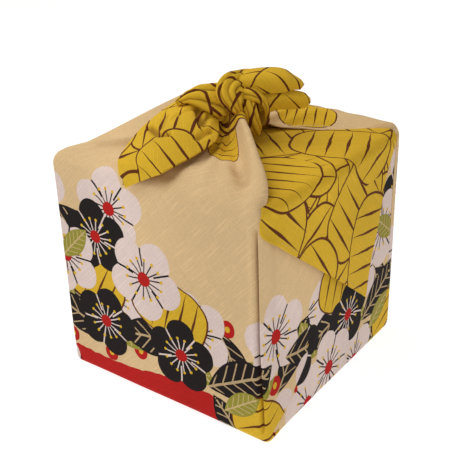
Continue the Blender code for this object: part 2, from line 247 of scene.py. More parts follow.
BACK_TAIL_UNDER = thousandths({
    "upper_x": (54, 93, 132, 167, 201, 224),
    "upper_y": (63, 103, 143, 183, 219, 235),
    "upper_z": (1166, 1161, 1153, 1140, 1126, 1107),
    "lower_x": (84, 119, 150, 184, 214, 229),
    "lower_y": (58, 84, 122, 164, 199, 230),
    "lower_z": (1074, 1069, 1076, 1072, 1072, 1089),
    "crown": (14, 20, 22, 20, 14, 4),
})
TAIL_FOLD = 0.011
UNDER_REACH = 0.24
# the fold closes within this share of the length before the tip, down to its least
TIP_SHARE = 0.125
TIP_LEAST = 0.15
# where the strands and the tails start on the flat cloth, and the tails' shift aside
KNOT_START = 2.02
TAIL_START = 2.43
TAIL_ASIDE = 0.10
STRAND_TWIST = 3.0

# ---- folds
# soft troughs (depth over 0) and ridges (depth under 0) along lines in space
FOLDS = thousandths({
    "from_x": (478, 462, 503, 462, 232, -120, -185, -83, -100, -111, -67, 10, 48),
    "from_y": (-504, -504, -420, -504, -293, -517, -275, -340, -300, -232, -116, -180, -174),
    "from_z": (60, 60, 330, 900, 985, 980, 1066, 1069, 1074, 1097, 1119, 1083, 1059),
    "to_x": (478, 462, 503, 440, 365, 85, -83, -41, -165, -67, 18, -20, 47),
    "to_y": (-504, -504, -420, -450, -419, -334, -340, -319, -190, -116, -199, -105, -280),
    "to_z": (880, 900, 860, 985, 975, 1000, 1069, 1075, 1096, 1119, 1082, 1092, 1056),
    "depth": (18, -6, 6, -6, 10, 4, 20, 16, 10, 10, 28, 14, 14),
    "wide": (6, 14, 30, 30, 26, 30, 14, 13, 20, 11, 16, 11, 12),
})
FOLDS["piece"] = ("front_tie",) * 6 + ("front_tail",) * 7
FOLD_FADE = 0.12

# soft unevenness of the whole cloth: waves in space, and creases that radiate from the knot
WAVES = {
    "x": (7.0, 3.1, -9.5, 14.0, 4.4, -17.0),
    "y": (4.0, -8.3, 6.2, 9.0, -15.5, 12.0),
    "z": (5.5, 7.9, 3.3, -11.0, 13.0, 16.0),
    "phase": (0.4, 2.1, 4.0, 1.3, 5.2, 3.1),
    "share": (1.0, 0.9, 0.7, 0.4, 0.35, 0.25),
}
PULL_REACH = 0.38
PULL_DEPTH = 0.0080
PULL_COUNT = 23
PULL_SWAY = 3
PULL_SWAYS = 5
PULL_FROM = (0.04, 0.16)
PULL_TOP = 0.08
STRIP_CALM = 0.6
# the depths of a fold and the shares of a pleat between which painted shade darkens the cloth,
# and the strength of that painted shade
FOLD_SHADE_DEPTHS = (0.003, 0.020)
PLEAT_SHADE_SHARES = (0.05, 1.00)
PAINTED_CREASE_SHADE = 0.60
# limits of the flat size that a sheet may state
NARROWEST_FLAT_M = 0.0105
LEAST_AREA_SHARE = 0.31

# the front right edge gives way to the left between its ends
EDGE_BOW = 0.022
BOW_X = (0.20, 0.50)
BOW_Y = (0.00, 0.50)
BOW_Z = (0.00, 0.50)
BOW_END_Z = (0.91, 1.00)

# ---- fineness
STRIP_STEP = 0.014
TIE_STEP = 0.012
ARC_STEPS = 10
STRIP_COLUMNS = 74
FACE_COLUMNS = 40
RIM_COLUMNS = 9
LAP_COLUMNS = 26
STRAND_SIDES = 96
STRAND_STEPS = 170
TAIL_COLUMNS = 64
TAIL_UNDER_COLUMNS = 22
TAIL_FOLD_COLUMNS = 8
TAIL_STEPS = 130


# ---- reading the tables
def read(table, column, at):
    """A column of a table at a place in its first one, on a curve that never overshoots."""
    keys, values = next(iter(table.values())), table[column]
    at = min(max(at, keys[0]), keys[-1])
    i = min(int(np.searchsorted(keys, at, side="right")) - 1, len(keys) - 2)
    steps = np.diff(keys)
    rates = np.diff(values) / steps
    slopes = [0.0, 0.0]
    for end, j in enumerate((i, i + 1)):
        if 0 < j < len(keys) - 1 and rates[j - 1] * rates[j] > 0:
            slopes[end] = 2 * rates[j - 1] * rates[j] / (rates[j - 1] + rates[j])
        elif j in (0, len(keys) - 1):
            slopes[end] = rates[0 if j == 0 else -1]
    share = (at - keys[i]) / steps[i]
    cube, square = share ** 3, share ** 2
    return float((2 * cube - 3 * square + 1) * values[i]
                 + (cube - 2 * square + share) * steps[i] * slopes[0]
                 + (3 * square - 2 * cube) * values[i + 1]
                 + (cube - square) * steps[i] * slopes[1])


def table_curve(table, count):
    """Points on a smooth curve through the rows of a table, evenly spread over them."""
    last = len(next(iter(table.values()))) - 1
    keyed = {"place": tuple(range(last + 1)), **table}
    return np.array([[read(keyed, name, last * k / (count - 1)) for name in table]
                     for k in range(count)])


def table_rows(table):
    """The rows of a table, each as a dictionary by the names of the columns."""
    return [dict(zip(table, row)) for row in zip(*table.values())]


def smooth(value, low, high):
    """0 below low, 1 above high, with a soft run between them."""
    share = np.clip((value - low) / (high - low), 0.0, 1.0)
    return share * share * (3 - 2 * share)


def unit(vectors):
    """Vectors of length one along the last axis."""
    return vectors / np.maximum(np.linalg.norm(vectors, axis=-1, keepdims=True), 1e-9)


def rounded_path(corners, rounds, step):
    """Points of a polyline with its corners rounded, each with its left-hand normal."""
    corners = [np.array(c, float) for c in corners]
    points = []
    start = corners[0]
    for i in range(1, len(corners)):
        direction = unit(corners[i] - corners[i - 1])
        normal = np.array((-direction[1], direction[0]))
        last = i == len(corners) - 1
        radius = 0.0 if last else rounds[i - 1]
        end = corners[i] - direction * radius
        count = max(1, round(np.linalg.norm(end - start) / step))
        for k in range(count + (1 if last else 0)):
            points.append((start + (end - start) * k / count, normal))
        if last:
            break
        turn = unit(corners[i + 1] - corners[i])
        for k in range(ARC_STEPS if radius else 0):
            angle = 0.5 * math.pi * k / ARC_STEPS
            offset = direction * math.sin(angle) + turn * (1 - math.cos(angle))
            lean = normal * math.cos(angle) + direction * math.sin(angle)
            points.append((end + radius * offset, lean))
        start = corners[i] + turn * radius
    return points


def run_lengths(points):
    """The length run from the first point to each point of a line of points."""
    steps = np.linalg.norm(np.diff(points, axis=-2), axis=-1)
    return np.concatenate((np.zeros(steps.shape[:-1] + (1,)), np.cumsum(steps, axis=-1)), axis=-1)


# ---- the shapes, as grids of points
def left_lift(x, y, z):
    """How much the left part of the top turn is lifted towards the back corner."""
    across = smooth(-x, -LIFT_FROM_X, HALF_X)
    up = smooth(z, LIFT_FROM_Z, HEIGHT)
    return LEFT_EDGE_LIFT * across * up * smooth(y, -HALF_Y, HALF_Y)


def strip_grid():
    """The spiral strip, from its hidden end to the tip of the flap: places and flat places."""
    inner_top = TURN_TOP - LAYER - GAP
    corners = ((INNER_END_X, inner_top), (RIGHT_WALL_X, inner_top), (RIGHT_WALL_X, 0),
               (-LEFT_WALL_X, 0), (-LEFT_WALL_X, TURN_TOP), (FLAP_X, TURN_TOP),
               (FLAP_X, FLAP_HEM_Z), (FLAP_X, FLAP_TIP_Z))
    rounds = (EDGE_ROUND, BASE_ROUND, BASE_ROUND, EDGE_ROUND, EDGE_ROUND + LAYER + GAP, 0)
    line = np.array([point for point, lean in rounded_path(corners, rounds, STRIP_STEP)])
    even = np.linspace(0, 1, STRIP_COLUMNS + 1)
    shares = 0.5 * (even + 0.5 - 0.5 * np.cos(math.pi * even))
    run = run_lengths(line)
    middle = np.argmin(np.linalg.norm(line, axis=-1))
    outer_turn = False
    rows, flat = [], []
    for (x, z), along in zip(line, run - run[middle]):
        outer_turn = outer_turn or x < -LEFT_WALL_X + 1e-6 and z > MIDDLE_Z
        is_flap = outer_turn and x > FLAP_START_X
        half_y = STRIP_HALF_Y + smooth(z, *TURN_NARROWS_Z) * (TURN_HALF_Y - STRIP_HALF_Y)
        half_y -= (1 - smooth(z, 0.0, FOOT_ROUND)) * (STRIP_HALF_Y - BASE_HALF_Y)
        left, right = -half_y, half_y
        if is_flap:
            reach = smooth(x, FLAP_START_X, FLAP_WIDE_X)
            left = read(FLAP_EDGES, "left", z)
            right = half_y + reach * (read(FLAP_EDGES, "right", z) - half_y)
        y = left + (right - left) * shares
        px, pz = np.full_like(y, x), np.full_like(y, z)
        if is_flap:
            tuck = smooth(-y, *TUCK_Y) * smooth(z, *TUCK_Z)
            px += read(FLAP_EDGES, "lift", z) - FLAP_TUCK * tuck
        elif x > FLAP_START_X:
            px += WALL_SLANT * y
        if outer_turn:
            pz += left_lift(x, y, z)
        rows.append(np.stack((px, y, pz), axis=-1))
        flat.append(np.stack((y, np.full_like(y, along)), axis=-1))
    return np.array(rows), np.array(flat)


def side_run(half, radius, lap, curl, rim, drop, rise):
    """Half a cross section of a tie, from its middle outwards: (out, up) pairs.

    The face runs out to its ridge, the rim curls over it, and the lap goes on."""
    def height(out):
        ridge = rim * np.exp(-np.abs((half - out - RIDGE_IN) / RIDGE_HALF) ** RIDGE_POWER)
        valley = VALLEY_SHARE * rim * np.exp(-((half - out - VALLEY_IN) / RIDGE_HALF) ** 2)
        return rise * (1 - drop * smooth(out / half, DROP_FROM, 1.0)) + ridge - valley

    face_end = half - radius
    face = face_end * np.sin(np.linspace(0, 0.5 * math.pi, FACE_COLUMNS + 1)[:-1])
    bend = curl / (radius * math.pi / 2)
    turned = np.linspace(0, curl, RIM_COLUMNS + 1)
    rim_out = face_end + np.sin(turned) / bend
    rim_up = height(face_end) - (1 - np.cos(turned)) / bend
    reach = np.linspace(0, lap, LAP_COLUMNS + 1)[1:]
    lap_out = rim_out[-1] + math.cos(curl) * reach
    lap_up = rim_up[-1] - math.sin(curl) * reach
    out = np.concatenate((face, rim_out, lap_out))
    up = np.concatenate((height(face), rim_up, lap_up))
    return np.stack((out, up), axis=-1)


def tie_grid(laps, top, back):
    """A tie, from under the base up its wall and over to the knot: places and flat places."""
    end_y = BACK_END_Y if back else FRONT_END_Y
    corners = ((-TIE_FOOT_Y, TIE_FOOT_Z), (-HALF_Y, TIE_FOOT_Z), (-HALF_Y, HEIGHT),
               (end_y, HEIGHT))
    path = rounded_path(corners, (FOOT_ROUND, TIE_ROUND), TIE_STEP)
    along = run_lengths(np.array([point for point, lean in path])) + TIE_FOOT_Y
    edge_y = HALF_Y - TIE_ROUND
    rows, flat = [], []
    for ((y, z), lean), length in zip(path, along):
        way = 0.0
        if z > MIDDLE_Z and y > -edge_y:
            way = (edge_y + y) / (edge_y - KNOT_Y)
        on_top = float(smooth(z, HEIGHT - TIE_ROUND, HEIGHT))
        under = 1.0 - float(smooth(z, TIE_FOOT_Z, TIE_FOOT_Z + FOOT_ROUND))
        halves = []
        out = read(laps, "out", z) if "out" in laps else 0.0
        rise = read(top, "rise", way) * on_top
        radius = CORNER_ROUND + on_top * (RIM_ROUND - CORNER_ROUND)
        for side, sign in (("left", -1), ("right", 1)):
            half = HALF_X + (1 - on_top) * out - under * FOOT_IN
            half += on_top * (read(top, side, way) - HALF_X)
            rim = read(top, side + "_rim", way) * on_top
            drop = read(top, "left_drop", way) if side == "left" else 0.0
            curl = read(top, side + "_curl", way)
            curl = math.radians(RIGHT_ANGLE + on_top * (curl - RIGHT_ANGLE))
            lap = read(laps, side, z)
            run = side_run(half, radius, lap, curl, rim, drop, rise)
            place = np.stack((sign * run[:, 0], y + lean[0] * run[:, 1],
                              z + lean[1] * run[:, 1]), axis=-1)
            halves.append((place, sign * run_lengths(run)))
        (left, left_reach), (right, right_reach) = halves
        rows.append(np.concatenate((left[::-1], right[1:])))
        across = np.concatenate((left_reach[::-1], right_reach[1:]))
        flat.append(np.stack((across, np.full_like(across, length)), axis=-1))
    rows, flat = np.array(rows), np.array(flat)
    if back:
        rows[..., :2] *= -1
        flat[..., 1] *= -1
    return rows, flat


def strand_grid(strand):
    """A gathered strand: a flattened, pleated section carried along its path."""
    path = table_curve(strand["path"], STRAND_STEPS)
    middles = path[:, :3]
    ahead = unit(np.gradient(middles, axis=0))
    facing = unit(np.array(KNOT_FACE))
    face = unit(facing - ahead * (ahead @ facing)[:, None])
    broad = np.cross(ahead, face)
    angle = np.linspace(0, 2 * math.pi, STRAND_SIDES + 1)
    along = run_lengths(middles)[:, None]
    turns = strand["pleats"] * angle + STRAND_TWIST * along
    pleat = 2 * np.abs(np.sin(0.5 * turns)) - 1
    ripple = 1 + strand["depth"] * pleat
    rows = (middles[:, None]
            + broad[:, None] * (0.5 * path[:, 3:4] * np.cos(angle) * ripple)[..., None]
            + face[:, None] * (0.5 * path[:, 4:5] * np.sin(angle) * ripple)[..., None])
    across = run_lengths(rows)
    flat = np.stack((across, np.broadcast_to(along + KNOT_START, across.shape)), axis=-1)
    # painted shade: the troughs of the pleats are darkened, and the whole strand as far as its
    # shade is set
    return rows, flat, np.maximum(smooth(-pleat, *PLEAT_SHADE_SHARES), strand["shade"])


def tail_grid(table, facing):
    """A folded leaf of a tail: a top layer over its crown, and an under layer folded back."""
    facing = unit(np.array(facing))
    lines = table_curve(table, TAIL_STEPS)
    upper, lower, crown = lines[:, None, :3], lines[:, None, 3:6], lines[:, None, 6:]
    closing = np.linspace(1 / TIP_SHARE, 0, TAIL_STEPS).clip(TIP_LEAST, 1)[:, None, None]
    half_fold = 0.5 * TAIL_FOLD * closing
    top = np.linspace(0, 1, TAIL_COLUMNS + 1)[None, :, None]
    under = np.linspace(UNDER_REACH, 0, TAIL_UNDER_COLUMNS)[None, :, None]
    angle = np.linspace(-0.5, 0.5, TAIL_FOLD_COLUMNS + 2)[1:-1, None] * math.pi
    outward = unit(upper - lower)
    rows = np.concatenate((
        upper + (lower - upper) * under - facing * half_fold,
        upper + half_fold * (outward * np.cos(angle) + facing * np.sin(angle)),
        upper + (lower - upper) * top + facing * (crown * np.sin(math.pi * top) + half_fold),
    ), axis=1)
    across = run_lengths(rows)
    across -= across[:, TAIL_UNDER_COLUMNS, None] + TAIL_ASIDE
    along = run_lengths(rows[:, TAIL_UNDER_COLUMNS + TAIL_COLUMNS // 2]) + TAIL_START
    flat = np.stack((across, np.broadcast_to(along[:, None], across.shape)), axis=-1)
    return rows, flat


# ---- soft relief on the shapes
def grid_normals(rows, flip):
    """The outward normals of a grid of points."""
    normals = unit(np.cross(np.gradient(rows, axis=1), np.gradient(rows, axis=0)))
    return -normals if flip else normals


def fold_depths(rows, name):
    """How deep the folds of one piece are at each point of its grid."""
    depth = np.zeros(rows.shape[:2])
    for row in table_rows(FOLDS):
        if row["piece"] != name:
            continue
        start, end = (np.array([row[place + axis] for axis in "xyz"])
                      for place in ("from_", "to_"))
        reach = end - start
        share = (rows - start) @ reach / (reach @ reach)
        nearest = start + np.clip(share, 0, 1)[..., None] * reach
        away = np.linalg.norm(rows - nearest, axis=-1) / row["wide"]
        ends = smooth(share, -FOLD_FADE, FOLD_FADE) * smooth(1 - share, -FOLD_FADE, FOLD_FADE)
        depth += row["depth"] * np.exp(-away ** 2) * ends
    return depth


def relieve(rows, name, context, flip=False):
    """A grid with the cloth's soft waves and folds pressed into it, and its painted shade.

    The painted shade runs from 0, on the open cloth, to 1 at the bottom of a fold."""
    waves = np.zeros(rows.shape[:2])
    for row in table_rows(WAVES):
        spin = rows @ [row[axis] for axis in "xyz"] + row["phase"]
        waves += row["share"] * np.sin(spin)
    calm = STRIP_CALM if name == "spiral_strip" else 1.0
    height = calm * context.scene.wrap_sizes.unevenness * waves / sum(WAVES["share"])
    flat_reach = np.linalg.norm(rows[..., :2], axis=-1)
    angle = np.arctan2(rows[..., 1], rows[..., 0])
    pull = np.exp(-flat_reach / PULL_REACH) * smooth(flat_reach, *PULL_FROM)
    pull *= smooth(rows[..., 2], HEIGHT - PULL_TOP, HEIGHT)
    if name.endswith("tie"):
        sway = PULL_SWAY * np.sin(PULL_SWAYS * angle)
        height += PULL_DEPTH * pull * np.cos(PULL_COUNT * angle + sway)
    folded = fold_depths(rows, name)
    height -= folded
    rows = rows + grid_normals(rows, flip) * height[..., None]
    near = smooth(rows[..., 0], *BOW_X) * smooth(-rows[..., 1], *BOW_Y)
    up = smooth(rows[..., 2], *BOW_Z) * (1 - smooth(rows[..., 2], *BOW_END_Z))
    rows[..., 0] -= EDGE_BOW * near * up
    return rows, smooth(folded, *FOLD_SHADE_DEPTHS)


# ---- meshes and the frame
def wrap_width_m(context):
    """The width of the wrap, which follows from the side of the cloth."""
    return WIDTH_SHARE * context.scene.wrap_sizes.cloth_side


def add_object(name, data, context):
    thing = bpy.data.objects.new(name, data)
    context.scene.collection.objects.link(thing)
    return thing


def put_on_frame(piece):
    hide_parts(NODE)
    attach(piece, BODY)


def sheet_piece(name, rows, flat, context, flip=False, pleats=None):
    """A cloth piece on a grid of points, with its place on the flat cloth as its UV map.

    A strand brings the painted shade of its pleats and closes to a skin. It is two layers of
    cloth, so it was cut half as wide as that. The other pieces are single sheets."""
    closed = pleats is not None
    layers = 2 if closed else 1
    rows, folds = relieve(rows, name, context, flip)
    # painted shade from the bottoms of the pleats of a strand or of the folds of a sheet, kept as
    # a point attribute
    crease = pleats if closed else folds
    width_m = wrap_width_m(context)
    count, width = rows.shape[:2]
    index = np.arange(count * width).reshape(count, width)
    quads = np.stack((index[:-1, :-1], index[:-1, 1:], index[1:, 1:], index[1:, :-1]), axis=-1)
    quads = quads.reshape(-1, 4)
    if flip:
        quads = quads[:, ::-1]
    mesh = bpy.data.meshes.new(name)
    mesh.from_pydata((rows.reshape(-1, 3) * width_m).tolist(), [], quads.tolist())
    places = (flat.reshape(-1, 2) * width_m)[quads.ravel()]
    layer = mesh.uv_layers.new(name="cloth")
    layer.data.foreach_set("uv", places.astype(np.float32).ravel())
    creases = mesh.attributes.new("crease", "FLOAT", "POINT")
    creases.data.foreach_set("value", crease.astype(np.float32).ravel())
    mesh.materials.append(cloth_material("cotton_print", context))
    if closed:
        bm = bmesh.new()
        bm.from_mesh(mesh)
        bmesh.ops.remove_doubles(bm, verts=bm.verts, dist=1e-6)
        bmesh.ops.holes_fill(bm, edges=[edge for edge in bm.edges if edge.is_boundary])
        bmesh.ops.recalc_face_normals(bm, faces=bm.faces)
        bm.to_mesh(mesh)
        bm.free()
    mesh.shade_smooth()
    piece = add_object(name, mesh, context)
    if not closed:
        mesh.materials.append(cloth_material("cotton_reverse", context))
        solid = piece.modifiers.new("thickness", "SOLIDIFY")
        solid.thickness = context.scene.wrap_sizes.sheet_thickness
        solid.offset = -1.0
        solid.use_even_offset = False
        solid.material_offset = 1
    put_on_frame(piece)
    spans = np.ptp(flat.reshape(-1, 2), axis=0) * width_m
    spans[0] = max(spans[0] / layers, NARROWEST_FLAT_M)
    across, along = rows[1:, 1:] - rows[:-1, :-1], rows[1:, :-1] - rows[:-1, 1:]
    area = np.linalg.norm(np.cross(across, along), axis=-1).sum() / 2 * width_m ** 2 / layers
    whole = spans[0] * spans[1]
    area = float(np.clip(area, LEAST_AREA_SHARE * whole, whole))


# ---- nodes and shader maths
class Number:
    """A socket that holds one number, with the operators that the maths needs."""

    def __init__(self, nodes, socket):
        self.nodes = nodes
        self.socket = socket

    def __rsub__(self, other):
        return self.nodes.math("SUBTRACT", other, self)


def operator(operation):
    """A method that adds one Math node."""
    return lambda number, *others: number.nodes.math(operation, number, *others)


OPERATORS = {
    "add": "ADD", "radd": "ADD", "sub": "SUBTRACT", "mul": "MULTIPLY", "rmul": "MULTIPLY",
    "truediv": "DIVIDE", "pow": "POWER", "lt": "LESS_THAN", "gt": "GREATER_THAN",
    "or": "MAXIMUM", "abs": "ABSOLUTE",
}
for name, operation in OPERATORS.items():
    setattr(Number, "__%s__" % name, operator(operation))


class Nodes:
    """The nodes of one tree, and the one way in which they are added."""

    def __init__(self, tree):
        self.tree = tree

    def node(self, kind, inputs=None, **settings):
        """Adds a node: its settings first, then the values or links of its sockets."""
        node = self.tree.nodes.new(kind)
        for name, value in settings.items():
            setattr(node, name, value)
        for name, value in (inputs or {}).items():
            self.feed(node.inputs[name], value)
        return node

    def feed(self, socket, value):
        """Sets a socket, or links it where the value is a socket or a number."""
        if isinstance(value, Number):
            value = value.socket
        if isinstance(value, bpy.types.NodeSocket):
            self.tree.links.new(value, socket)
        else:
            socket.default_value = value

    def math(self, operation, *values):
        node = self.node("ShaderNodeMath", dict(enumerate(values)), operation=operation)
        return Number(self, node.outputs[0])

    def vector(self, *values):
        return self.node("ShaderNodeCombineXYZ", dict(enumerate(values))).outputs[0]


class Paint(Nodes):
    """The nodes of one material, and the colour that is painted so far."""

    def __init__(self, name, inks, ink):
        self.material = bpy.data.materials.new(name)
        self.material.use_nodes = True
        super().__init__(self.material.node_tree)
        self.inks = inks
        self.colour = inks[ink]

    def over(self, mask, ink):
        """Paints an ink over the colour, by a share or a mask."""
        self.colour = self.node("ShaderNodeMix", {0: mask, 6: self.colour, 7: self.inks[ink]},
                                data_type="RGBA").outputs[2]

    def noise(self, vector, detail=1.0, scale=1.0, dimensions="2D"):
        node = self.node("ShaderNodeTexNoise",
                         {"Vector": vector, "Scale": scale, "Detail": detail},
                         noise_dimensions=dimensions)
        return Number(self, node.outputs[0])

    def object_noise(self, scale):
        spot = self.node("ShaderNodeTexCoord").outputs["Object"]
        return self.noise(spot, 2.0, scale, "3D")

    def step(self, value, low, high):
        """0 at low and 1 at high, with a straight run between them."""
        node = self.node("ShaderNodeMapRange",
                         {"Value": value, "From Min": low, "From Max": high})
        return Number(self, node.outputs[0])

    def surface(self, inputs):
        """Feeds the surface's sockets, and gives the material."""
        for name, value in inputs.items():
            self.feed(self.tree.nodes["Principled BSDF"].inputs[name], value)
        return self.material


# ---- the print
# layers of scattered motifs, from the lowest: the cell that holds one motif, its shift
# and jitter in shares of the cell, the motif's radius, the band of the cloth where it
# is printed, by the distance from the middle of the cloth, and two numbers of the draw
MOTIF_LAYERS = {
    "motif": ("leaf", "bud", "leaf", "blossom", "leaf", "oval", "blossom", "blossom", "leaf"),
    "tone": ("black", "red", "olive", "white", "black", "yellow", "black", "white", "olive"),
    "cell": (0.30, 0.22, 0.33, 0.40, 0.42, 0.43, 0.40, 0.44, 0.41),
    "shift_u": (0.30, 0.75, 0.10, 0.05, 0.55, 0.35, 0.20, 0.60, 0.45),
    "shift_d": (0.85, 0.45, 0.20, 0.25, 0.70, 0.30, 0.60, 0.15, 0.90),
    "jitter": (0.10, 0.50, 0.10, 0.10, 0.10, 0.12, 0.10, 0.10, 0.30),
    "radius": (0.16, 0.036, 0.165, 0.17, 0.18, 0.19, 0.16, 0.18, 0.105),
    "low": (0.52, 0.60, 0.52, 0.58, 0.52, 0.55, 0.52, 0.58, 0.55),
    "high": (0.80, 1.05, 0.98, 0.98, 0.88, 0.92, 0.88, 1.00, 0.92),
    "share": (1.00, 0.80, 0.95, 0.90, 0.75, 0.80, 0.60, 0.70, 0.60),
    "draw": (61, 43, 3, 23, 11, 7, 19, 5, 29),
}
# layers of the heap of ovals on the corners of the cloth
HEAP_LAYERS = {
    "cell": (0.52, 0.50, 0.54, 0.51, 0.53, 0.50),
    "shift_u": (0.00, 0.50, 0.25, 0.75, 0.40, 0.10),
    "shift_d": (0.00, 0.35, 0.70, 0.10, 0.55, 0.85),
    "starts": (2.02, 2.02, 1.98, 1.96, 1.96, 1.96),
    "draw": (51, 57, 63, 71, 77, 83),
}
HEAP_START = 1.985
HEAP_JITTER = 0.12
HEAP_RADIUS = 0.235
WOBBLE = 0.012
WOBBLE_SCALE = 9.0
RED_GROUND = 0.615
GROUND_STEP = 0.060
GROUND_ARCH = 0.22
GROUND_WAVES = 9.0
GROUND_WAVE = 0.022
GROUND_WOBBLE = 0.05
BAND_RISE = 0.36
BAND_STEP = (0.06, -0.16)
BAND_SINK = 0.14
SINK_MIDDLE = 0.10
SINK_STEP = (0.28, 0.36)
# the single ovals between the band and the heap, on the front (1) and back (-1) ties
LONE_OVALS = {
    "side": (1.0, -1.0),
    "across": (0.066, -0.150),
    "from": (1.800, 1.606),
    "long": (0.160, 0.128),
    "wide": (0.062, 0.088),
    "turn": (-0.83, 0.45),
}
# the motifs' own proportions, in shares of the motif's radius
LEAF_HALF = 0.46
LEAF_VEINS = 3.4
VEIN_SHARE = 0.16
VEIN_INSET = 0.06
VEIN_TONE = 0.7
MIDRIB_HALF = 0.03
MIDRIB_END = 0.86
OVAL_SHAPE = 1.45
OVAL_POWER = 2.6
OVAL_LINE = 0.955
BAR_STEP = 0.32
BAR_HALF = 0.030
BAR_TAPER = 0.045
BARS_END = 0.72
HALF_PETAL = math.pi / 5
PETAL_OUT = 0.56
PETAL_RADIUS = 0.43
PETALS_MIDDLE = 0.6
SEAM_HALF = 0.022
SEAM_FROM = 0.30
HALF_STAMEN = math.pi / 14
STAMEN_HALF = 0.016
STAMEN_END = 0.46
HEAD_OUT = 0.48
HEAD_RADIUS = 0.040
HEART_RADIUS = 0.17
BUD_HEART = 0.34


class Print(Paint):
    """The print of the cloth: its ground, its band of motifs and its heap of ovals."""

    def scatter(self, u, d, row):
        """The place on a scattered motif, in its radii, the motif's middle, and a draw."""
        cell, jitter, radius = row["cell"], row["jitter"], row["radius"]
        cells = [self.math("FLOOR", place / cell + row[shift])
                 for place, shift in ((u, "shift_u"), (d, "shift_d"))]
        noise = self.node("ShaderNodeTexWhiteNoise", {"Vector": self.vector(*cells, row["draw"])},
                          noise_dimensions="3D")
        draws = self.node("ShaderNodeSeparateColor", {0: noise.outputs["Color"]}).outputs
        draw_u, draw_d, draw_turn = (Number(self, socket) for socket in draws)
        middle_u = (cells[0] + (0.5 - row["shift_u"] - jitter / 2) + draw_u * jitter) * cell
        middle_d = (cells[1] + (0.5 - row["shift_d"] - jitter / 2) + draw_d * jitter) * cell
        angle = draw_turn * (2 * math.pi)
        cosine, sine = self.math("COSINE", angle), self.math("SINE", angle)
        off_u, off_d = u - middle_u, d - middle_d
        x = (off_u * cosine + off_d * sine) / radius
        y = (off_d * cosine - off_u * sine) / radius
        return x, y, middle_u, middle_d, Number(self, noise.outputs["Value"])

    def leaf(self, x, y, shown, tone):
        side = abs(y)
        edge = (1 - x * x) * LEAF_HALF - side
        veins = self.math("FRACT", (x - side) * LEAF_VEINS + 10) < VEIN_SHARE
        veins = veins * (edge > VEIN_INSET)
        veins = veins | (side < MIDRIB_HALF) * (x < MIDRIB_END)
        self.over((edge > 0) * shown, tone)
        self.over(veins * (edge > 0) * shown * VEIN_TONE, "cotton")

    def oval(self, x, y, shown, tone):
        """A rounded oval with a brush outline and a row of short bars across it."""
        rim = (abs(x) ** OVAL_POWER + (abs(y) * OVAL_SHAPE) ** OVAL_POWER) ** (1 / OVAL_POWER)
        bars = self.math("WRAP", x, BAR_STEP / 2, -BAR_STEP / 2)
        bars = (abs(bars) < BAR_HALF - abs(y) * BAR_TAPER) * (abs(x) < BARS_END)
        self.over((rim < 1.0) * shown, tone)
        self.over((bars | (rim > OVAL_LINE) * (rim < 1.0)) * shown, "line")

    def blossom(self, x, y, shown, tone):
        """A plum blossom of five round petals, with its heart and stamens."""
        radius = (x * x + y * y) ** 0.5
        angle = self.math("ARCTAN2", y, x)
        sector = self.math("WRAP", angle, HALF_PETAL, -HALF_PETAL)
        out = radius * self.math("COSINE", sector) - PETAL_OUT
        aside = radius * self.math("SINE", sector)
        petal = (out * out + aside * aside < PETAL_RADIUS ** 2) * shown
        petal = petal | (radius < PETALS_MIDDLE) * shown
        seam = (radius * (HALF_PETAL - abs(sector)) < SEAM_HALF) * (radius > SEAM_FROM)
        spoke = radius * abs(self.math("WRAP", angle, HALF_STAMEN, -HALF_STAMEN))
        stamens = (spoke < STAMEN_HALF) * (radius < STAMEN_END)
        head_out = radius - HEAD_OUT
        heads = head_out * head_out + spoke * spoke < HEAD_RADIUS ** 2
        self.over(petal, tone)
        self.over(petal * (seam | stamens), "black" if tone == "white" else "white")
        self.over(shown * heads, "yellow")
        self.over(shown * (radius < HEART_RADIUS), "red")

    def bud(self, x, y, shown, tone):
        rim = (x * x + y * y) ** 0.5
        self.over((rim < 1.0) * shown, tone)
        self.over((rim < BUD_HEART) * shown, "yellow")

    def cloth(self, u, d, side):
        """The whole print, at a distance across (u) and along (d) the cloth."""
        wobble = self.noise(self.vector(u, d), 2.0, WOBBLE_SCALE) - 0.5
        u, d = u + wobble * WOBBLE, d + wobble * WOBBLE
        edge = RED_GROUND - (1 - side) * GROUND_STEP - u * u * GROUND_ARCH
        edge += self.math("SINE", u * GROUND_WAVES) * GROUND_WAVE
        self.over(d < edge + wobble * GROUND_WOBBLE, "red")
        for row in table_rows(MOTIF_LAYERS):
            x, y, middle_u, middle, draw = self.scatter(u, d, row)
            rise = self.step(middle_u * side, *BAND_STEP) * BAND_RISE
            aside = abs(middle_u + SINK_MIDDLE) + (1 - side)
            sink = self.step(aside, *SINK_STEP) * BAND_SINK
            shown = (middle - rise < row["high"]) * (middle + sink > row["low"])
            getattr(self, row["motif"])(x, y, shown * (draw < row["share"]), row["tone"])
        for row in table_rows(LONE_OVALS):
            off_u, off_d = u - row["across"], d - row["from"]
            cosine, sine = math.cos(row["turn"]), math.sin(row["turn"])
            x = (off_u * cosine + off_d * sine) / row["long"]
            y = (off_d * cosine - off_u * sine) / (row["wide"] * OVAL_SHAPE)
            self.oval(x, y, side * row["side"] > 0, "yellow")
        self.over(d > HEAP_START, "yellow")
        for row in table_rows(HEAP_LAYERS):
            row = dict(row, jitter=HEAP_JITTER, radius=HEAP_RADIUS)
            x, y, _, middle, _ = self.scatter(u, d, row)
            self.oval(x, y, middle > row["starts"], "yellow")


# ---- the materials
# threads and slubs of the weave: their count in a width of the wrap, across and along
THREADS = (300, 40)
SLUBS = (240, 8)
SLUB_STEP = (0.58, 0.78)
WARP_SLUBS = 0.45
CLOUD_SCALE = 1.8
# what the weave, the clouds and the slubs add to the tone, the roughness and the relief
TONE = 0.97
WEAVE_TONE = 0.12
CLOUD_TONE = 0.26
SLUB_TONE = 0.13
ROUGHNESS = 0.86
WEAVE_ROUGHNESS = 0.10
SLUB_RELIEF = 0.5
RELIEF_STRENGTH = 0.30
RELIEF_M = 0.0004
SHEEN = 0.02
SPECULAR = 0.12
PLY_SCALE = 4000.0
PLY_SHADE = 0.75
THREAD_ROUGHNESS = 0.6


